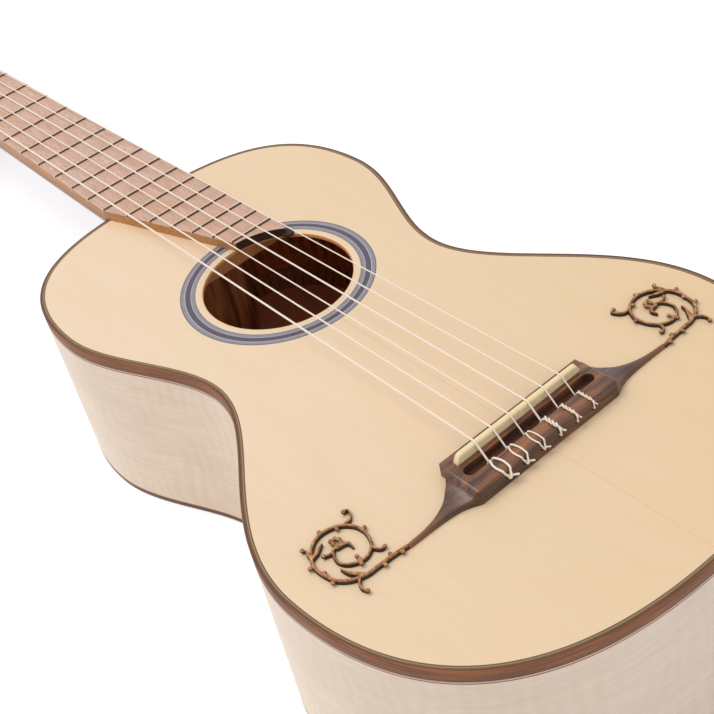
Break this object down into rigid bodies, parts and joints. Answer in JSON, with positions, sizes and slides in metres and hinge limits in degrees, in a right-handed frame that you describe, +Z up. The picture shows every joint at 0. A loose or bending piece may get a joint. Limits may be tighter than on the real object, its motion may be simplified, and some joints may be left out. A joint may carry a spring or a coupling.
{
  "type": "romantic guitar",
  "caption": "Small-bodied gut-strung guitar lying on its back, with a tie bridge flanked by carved scrolls, a fingerboard cut away on the bass side and wooden tuning pegs.",
  "frame": {"origin": "on the underside of the flat back, straight below the middle of the soundhole", "axes": "+X towards the treble side, +Y along the centre line towards the head, +Z up through the soundboard"},
  "size_m": [0.2766, 0.9288, 0.1254],
  "materials": {
    "spruce": "satin french polish on pale spruce",
    "maple": "satin french polish on flamed maple",
    "rosewood": "satin",
    "rosette_inlay": "satin inlay of dyed wood",
    "purfling": "satin dyed lines",
    "inner_wood": "bare",
    "neck_wood": "satin",
    "board_wood": "oiled",
    "carved_wood": "satin",
    "peg_wood": "polished",
    "bone": "polished bone",
    "fret_metal": "worn nickel silver",
    "gut": "smooth gut or nylon"
  },
  "bodies": {
    "guitar": {"soundboard": "spruce", "back": "maple", "rib_treble": "maple", "rib_bass": "maple", "rosette": "rosette_inlay", "top_binding": "rosewood", "back_binding": "rosewood", "top_purfling": "purfling", "neck_block": "inner_wood", "tail_block": "inner_wood", "neck": "neck_wood", "heel_cap": "rosewood", "head": "neck_wood", "nut": "bone", "fingerboard": "board_wood", "bridge": "rosewood", "saddle": "bone", "scroll_treble": "carved_wood", "scroll_bass": "carved_wood", "fret_1": "fret_metal", "fret_2": "fret_metal", "fret_3": "fret_metal", "fret_4": "fret_metal", "fret_5": "fret_metal", "fret_6": "fret_metal", "fret_7": "fret_metal", "fret_8": "fret_metal", "fret_9": "fret_metal", "fret_10": "fret_metal", "fret_11": "fret_metal", "fret_12": "fret_metal", "fret_13": "fret_metal", "fret_14": "fret_metal", "fret_15": "fret_metal", "fret_16": "fret_metal", "fret_17": "fret_metal", "fret_18": "fret_metal", "string_1": "gut", "string_2": "gut", "string_3": "gut", "string_4": "gut", "string_5": "gut", "string_6": "gut", "top_brace_upper": "inner_wood", "top_brace_head_side": "inner_wood", "top_brace_tail_side": "inner_wood", "top_brace_lower": "inner_wood", "back_brace_upper": "inner_wood", "back_brace_waist": "inner_wood", "back_brace_lower": "inner_wood", "top_lining_treble": "inner_wood", "top_lining_bass": "inner_wood", "back_lining_treble": "inner_wood", "back_lining_bass": "inner_wood"},
    "tuner_1": {"peg_1": "peg_wood"},
    "tuner_2": {"peg_2": "peg_wood"},
    "tuner_3": {"peg_3": "peg_wood"},
    "tuner_4": {"peg_4": "peg_wood"},
    "tuner_5": {"peg_5": "peg_wood"},
    "tuner_6": {"peg_6": "peg_wood"}
  },
  "joints": [
    {"name": "peg_1_turn", "type": "hinge", "parent": "guitar", "child": "tuner_1", "pos_m": [0.023, 0.51038, 0.10476], "axis": [0, 0.2079, 0.9781], "continuous": true},
    {"name": "peg_2_turn", "type": "hinge", "parent": "guitar", "child": "tuner_2", "pos_m": [0.02, 0.54755, 0.09686], "axis": [0, 0.2079, 0.9781], "continuous": true},
    {"name": "peg_3_turn", "type": "hinge", "parent": "guitar", "child": "tuner_3", "pos_m": [0.017, 0.58472, 0.08896], "axis": [0, 0.2079, 0.9781], "continuous": true},
    {"name": "peg_4_turn", "type": "hinge", "parent": "guitar", "child": "tuner_4", "pos_m": [-0.017, 0.58472, 0.08896], "axis": [0, 0.2079, 0.9781], "continuous": true},
    {"name": "peg_5_turn", "type": "hinge", "parent": "guitar", "child": "tuner_5", "pos_m": [-0.02, 0.54755, 0.09686], "axis": [0, 0.2079, 0.9781], "continuous": true},
    {"name": "peg_6_turn", "type": "hinge", "parent": "guitar", "child": "tuner_6", "pos_m": [-0.023, 0.51038, 0.10476], "axis": [0, 0.2079, 0.9781], "continuous": true}
  ]
}
